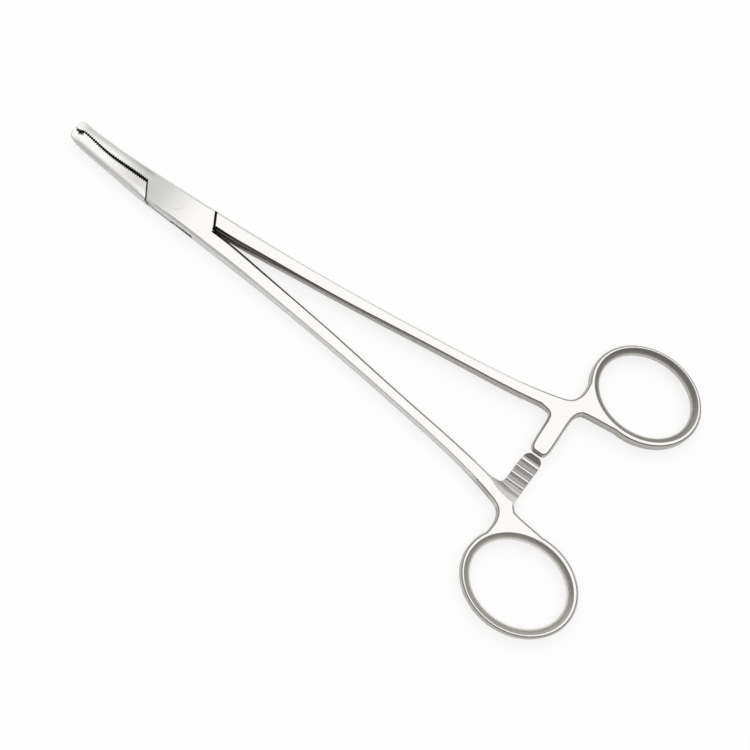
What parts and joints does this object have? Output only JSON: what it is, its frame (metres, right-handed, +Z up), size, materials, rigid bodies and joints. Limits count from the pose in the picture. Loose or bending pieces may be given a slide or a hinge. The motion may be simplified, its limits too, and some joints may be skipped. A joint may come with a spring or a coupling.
{
  "type": "hemostat forceps",
  "caption": "Ring-handled locking forceps with a box lock, long shanks, toothed ratchet bars and short serrated jaws with interlocking tip teeth.",
  "frame": {"origin": "pin axis of the box lock, at the flat underside of the box", "axes": "+X from the pin towards the finger rings, +Y towards the tongue arm's ring, +Z up from the side it lies on"},
  "size_m": [0.2045, 0.093, 0.0059],
  "materials": {
    "satin_steel": "satin, fine brushed",
    "pin_steel": "satin, ground flush"
  },
  "bodies": {
    "box_arm": {"box_arm": "satin_steel", "lock_pin": "pin_steel"},
    "tongue_arm": {"tongue_arm": "satin_steel"}
  },
  "joints": [
    {"name": "box_lock_hinge", "type": "hinge", "parent": "box_arm", "child": "tongue_arm", "pos_m": [0, 0, 0.00295], "axis": [0, 0, 1], "range_deg": [-0.3, 60]}
  ]
}
